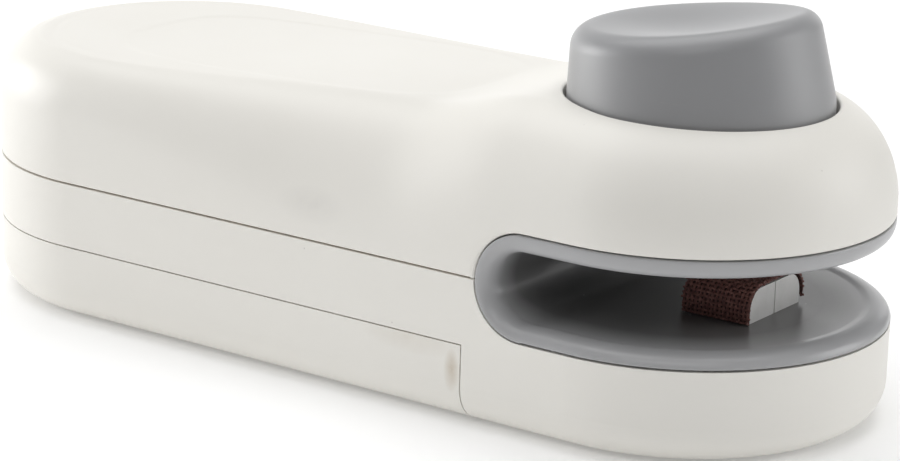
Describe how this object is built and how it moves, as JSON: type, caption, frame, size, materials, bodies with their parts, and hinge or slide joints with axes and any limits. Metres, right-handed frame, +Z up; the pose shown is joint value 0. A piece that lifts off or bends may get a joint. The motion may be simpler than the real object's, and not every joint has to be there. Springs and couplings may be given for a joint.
{
  "type": "handheld bag heat sealer",
  "caption": "Palm-sized battery bag sealer: obround white housing, C-shaped grey jaw slot at the nose with a taped heating block, and a round press button above it.",
  "frame": {"origin": "middle of the housing's outline on its flat underside", "axes": "+X along the housing towards the jaw, +Z up towards the button, +Y to the left when looking along +X"},
  "size_m": [0.105, 0.0412, 0.0401],
  "materials": {
    "shell": "fine satin off-white ABS",
    "liner": "satin to glossy grey ABS",
    "button": "fine matte grey ABS",
    "inner_plastic": "natural moulded nylon",
    "black_plastic": "black moulded plastic",
    "silicone": "silicone rubber",
    "heater_body": "white heat-resistant moulding",
    "heater_metal": "nickel-chrome ribbon",
    "tape": "open-weave glass cloth coated with PTFE",
    "screw_steel": "zinc-plated steel",
    "spring_steel": "spring steel",
    "contact_plate": "nickel-plated spring steel",
    "brass_strip": "bare brass strip",
    "cell_can": "printed sleeve on a steel can",
    "red_lead": "insulated lead",
    "yellow_lead": "insulated lead",
    "black_lead": "insulated lead"
  },
  "bodies": {
    "housing": {"upper_shell": "shell", "lower_shell": "shell", "jaw_liner": "liner", "return_spring": "spring_steel", "guide_plate": "inner_plastic", "guide_screws": "screw_steel", "switch_base": "black_plastic", "switch_leaf": "brass_strip", "switch_contact": "brass_strip", "heater_block": "heater_body", "heater_ribbon": "heater_metal", "heat_tape": "tape", "heater_terminals": "brass_strip", "terminal_screws": "screw_steel", "battery_tray": "black_plastic", "tray_screws": "screw_steel", "left_cell": "cell_can", "right_cell": "cell_can", "link_contact": "contact_plate", "positive_contact": "contact_plate", "negative_contact": "contact_plate", "battery_lead": "red_lead", "switched_lead": "yellow_lead", "return_lead": "black_lead", "shell_screws": "screw_steel"},
    "button": {"press_button": "button", "plunger": "inner_plastic", "press_pad": "silicone", "stem_screw": "screw_steel"},
    "door": {"battery_door": "shell"}
  },
  "joints": [
    {"name": "button_press", "type": "slide", "parent": "housing", "child": "button", "axis": [0, 0, -1], "range_m": [0, 0.0028], "stiffness_N_per_m": 900, "springref_m": -0.001, "deforming": ["return_spring", "switch_leaf"]},
    {"name": "door_slide", "type": "slide", "parent": "housing", "child": "door", "axis": [-1, 0, 0], "range_m": [0, 0.074]}
  ]
}
